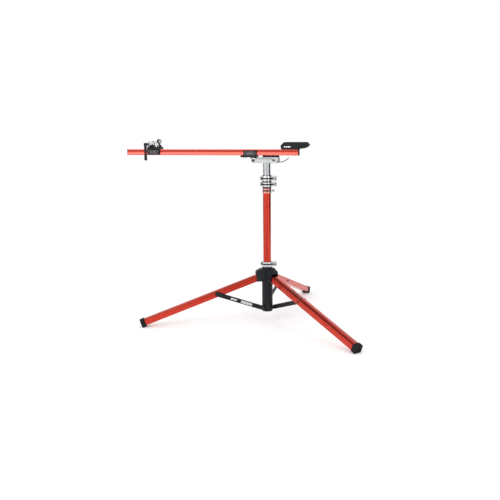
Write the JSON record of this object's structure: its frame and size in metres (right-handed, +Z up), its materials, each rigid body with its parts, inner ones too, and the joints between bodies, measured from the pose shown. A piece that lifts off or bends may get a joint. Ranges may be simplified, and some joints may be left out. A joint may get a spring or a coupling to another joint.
{
  "type": "bike repair stand",
  "caption": "Folding tripod bicycle repair stand with a telescoping swivel mast and a tilting beam that carries a fork mount and a bottom bracket cradle.",
  "frame": {"origin": "on the floor under the mast's axis, in the plane of the flats on the three feet", "axes": "+Z up the mast, +X along the beam towards the bottom bracket cradle, so the fork mount is on the -X side"},
  "size_m": [1.3677, 1.1397, 0.9985],
  "materials": {
    "red_anodised": "red anodised extrusion, satin, fine drawn lines along its length",
    "black_alloy": "cast or extruded aluminium under black powder coat, fine orange peel",
    "black_steel": "steel flat under satin black powder coat",
    "black_plastic": "moulded glass-filled nylon, fine spark texture",
    "black_rubber": "moulded rubber, matt",
    "silver_alloy": "cast and polished, soft sheen",
    "clear_anodised": "clear anodised drawn tube",
    "bright_steel": "zinc plated",
    "dark_steel": "black oxide",
    "grey_plastic": "moulded, satin"
  },
  "bodies": {
    "mast": {"mast_tube": "red_anodised", "mast_end_plug": "black_plastic", "column_sleeve": "black_alloy", "lower_collar": "black_alloy", "stop_collar": "red_anodised", "swivel_seat": "black_plastic", "qr_2_collar": "silver_alloy", "qr_2_skewer": "bright_steel"},
    "stop_screw": {"stop_screw": "bright_steel"},
    "hub": {"hub_casting": "black_alloy", "leg_pivot_bolts": "dark_steel", "qr_3_collar": "silver_alloy", "qr_3_skewer": "bright_steel"},
    "swivel": {"swivel_sleeve": "black_alloy", "qr_1_collar": "silver_alloy", "qr_1_skewer": "bright_steel"},
    "post": {"post_tube": "clear_anodised", "post_end_plug": "black_plastic", "head_casting": "silver_alloy", "head_pins": "dark_steel", "head_pad": "black_rubber"},
    "head_lever": {"head_cam_lever": "dark_steel"},
    "carriage": {"carriage_bracket": "black_alloy", "carriage_badge": "black_plastic", "carriage_screws": "dark_steel"},
    "beam": {"beam_extrusion": "red_anodised", "beam_end_caps": "black_plastic", "cradle_base": "black_plastic", "cradle_liner": "black_rubber", "cradle_bolts": "bright_steel"},
    "slider": {"slider_body": "black_alloy", "slider_badge": "black_plastic", "fork_drum": "silver_alloy", "slider_lever_pin": "bright_steel"},
    "slider_lever": {"slider_clamp_lever": "black_plastic", "slider_lever_disc": "grey_plastic"},
    "fork_skewer": {"fork_skewer_rod": "bright_steel"},
    "fork_nut": {"fork_skewer_nut": "silver_alloy"},
    "fork_lever": {"fork_cam_lever": "black_alloy"},
    "mast_top_lever_1": {"qr_1_lever": "silver_alloy"},
    "mast_top_lever_2": {"qr_2_lever": "silver_alloy"},
    "hub_lever": {"qr_3_lever": "silver_alloy"},
    "leg_1": {"leg_1_tube": "red_anodised", "leg_1_top_plug": "black_plastic", "leg_1_bolt": "dark_steel", "leg_1_foot": "black_rubber"},
    "strut_1": {"strut_1_bar": "black_steel", "strut_1_rivets": "dark_steel"},
    "leg_2": {"leg_2_tube": "red_anodised", "leg_2_top_plug": "black_plastic", "leg_2_bolt": "dark_steel", "leg_2_foot": "black_rubber"},
    "strut_2": {"strut_2_bar": "black_steel", "strut_2_rivets": "dark_steel"},
    "leg_3": {"leg_3_tube": "red_anodised", "leg_3_top_plug": "black_plastic", "leg_3_bolt": "dark_steel", "leg_3_foot": "black_rubber"},
    "strut_3": {"strut_3_bar": "black_steel", "strut_3_rivets": "dark_steel"}
  },
  "joints": [
    {"name": "hub_slide", "type": "slide", "parent": "mast", "child": "hub", "axis": [0, 0, 1], "range_m": [0, 0.3322]},
    {"name": "leg_1_fold", "type": "hinge", "parent": "hub", "child": "leg_1", "pos_m": [-0.04989, -0.02066, 0.2511], "axis": [0.3827, -0.9239, 0], "range_deg": [0, 70.19]},
    {"name": "strut_1_fold", "type": "hinge", "parent": "mast", "child": "strut_1", "pos_m": [-0.02772, -0.01148, 0.084], "axis": [-0.3827, 0.9239, 0], "range_deg": [0, 65.62]},
    {"name": "leg_2_fold", "type": "hinge", "parent": "hub", "child": "leg_2", "pos_m": [0.04284, -0.03287, 0.2511], "axis": [0.6088, 0.7934, 0], "range_deg": [0, 70.19]},
    {"name": "strut_2_fold", "type": "hinge", "parent": "mast", "child": "strut_2", "pos_m": [0.0238, -0.01826, 0.084], "axis": [-0.6088, -0.7934, 0], "range_deg": [0, 65.62]},
    {"name": "leg_3_fold", "type": "hinge", "parent": "hub", "child": "leg_3", "pos_m": [0.00705, 0.05354, 0.2511], "axis": [-0.9914, 0.1305, 0], "range_deg": [0, 70.19]},
    {"name": "strut_3_fold", "type": "hinge", "parent": "mast", "child": "strut_3", "pos_m": [0.00392, 0.02974, 0.084], "axis": [0.9914, -0.1305, 0], "range_deg": [0, 65.62]},
    {"name": "hub_lever_swing", "type": "hinge", "parent": "hub", "child": "hub_lever", "pos_m": [0.03829, 0.03097, 0.3244], "axis": [0, 0, -1], "range_deg": [0, 150]},
    {"name": "head_swivel", "type": "hinge", "parent": "mast", "child": "swivel", "pos_m": [0, 0, 0.78], "axis": [0, 0, 1], "continuous": true},
    {"name": "swivel_lever_swing", "type": "hinge", "parent": "mast", "child": "mast_top_lever_2", "pos_m": [0.03829, 0.03097, 0.75835], "axis": [0, 0, -1], "range_deg": [0, 150]},
    {"name": "height_lever_swing", "type": "hinge", "parent": "swivel", "child": "mast_top_lever_1", "pos_m": [0.03829, 0.03097, 0.7895], "axis": [0, 0, -1], "range_deg": [0, 150]},
    {"name": "post_slide", "type": "slide", "parent": "swivel", "child": "post", "axis": [0, 0, -1], "range_m": [-0.25, 0.064]},
    {"name": "beam_tilt", "type": "hinge", "parent": "post", "child": "carriage", "pos_m": [-0.0685, 0, 0.8855], "axis": [0, -1, 0], "range_deg": [0, 90]},
    {"name": "head_lever_swing", "type": "hinge", "parent": "post", "child": "head_lever", "pos_m": [0.06, 0, 0.88], "axis": [0, 1, 0], "range_deg": [0, 85]},
    {"name": "beam_slide", "type": "slide", "parent": "carriage", "child": "beam", "axis": [-1, 0, 0], "range_m": [-0.15, 0.206]},
    {"name": "slider_slide", "type": "slide", "parent": "beam", "child": "slider", "axis": [-1, 0, 0], "range_m": [-0.25, 0.11]},
    {"name": "slider_lever_swing", "type": "hinge", "parent": "slider", "child": "slider_lever", "pos_m": [-0.611, 0, 0.961], "axis": [0, 1, 0], "range_deg": [0, 55]},
    {"name": "fork_skewer_spin", "type": "hinge", "parent": "slider", "child": "fork_skewer", "pos_m": [-0.661, 0, 0.972], "axis": [0, 1, 0], "continuous": true},
    {"name": "fork_lever_swing", "type": "hinge", "parent": "fork_skewer", "child": "fork_lever", "pos_m": [-0.661, -0.072, 0.972], "axis": [-1, 0, 0], "range_deg": [0, 170]},
    {"name": "fork_nut_spin", "type": "hinge", "parent": "fork_skewer", "child": "fork_nut", "pos_m": [-0.661, 0.0615, 0.972], "axis": [0, 1, 0], "continuous": true},
    {"name": "stop_screw_spin", "type": "hinge", "parent": "mast", "child": "stop_screw", "pos_m": [0.03, 0, 0.725], "axis": [1, 0, 0], "continuous": true}
  ],
  "couplings": [
    {"joint": "leg_1_fold", "follows": "hub_slide", "rad_per_m": 3.6851},
    {"joint": "strut_1_fold", "follows": "hub_slide", "rad_per_m": 3.4447},
    {"joint": "leg_2_fold", "follows": "hub_slide", "rad_per_m": 3.6851},
    {"joint": "strut_2_fold", "follows": "hub_slide", "rad_per_m": 3.4447},
    {"joint": "leg_3_fold", "follows": "hub_slide", "rad_per_m": 3.6851},
    {"joint": "strut_3_fold", "follows": "hub_slide", "rad_per_m": 3.4447}
  ]
}
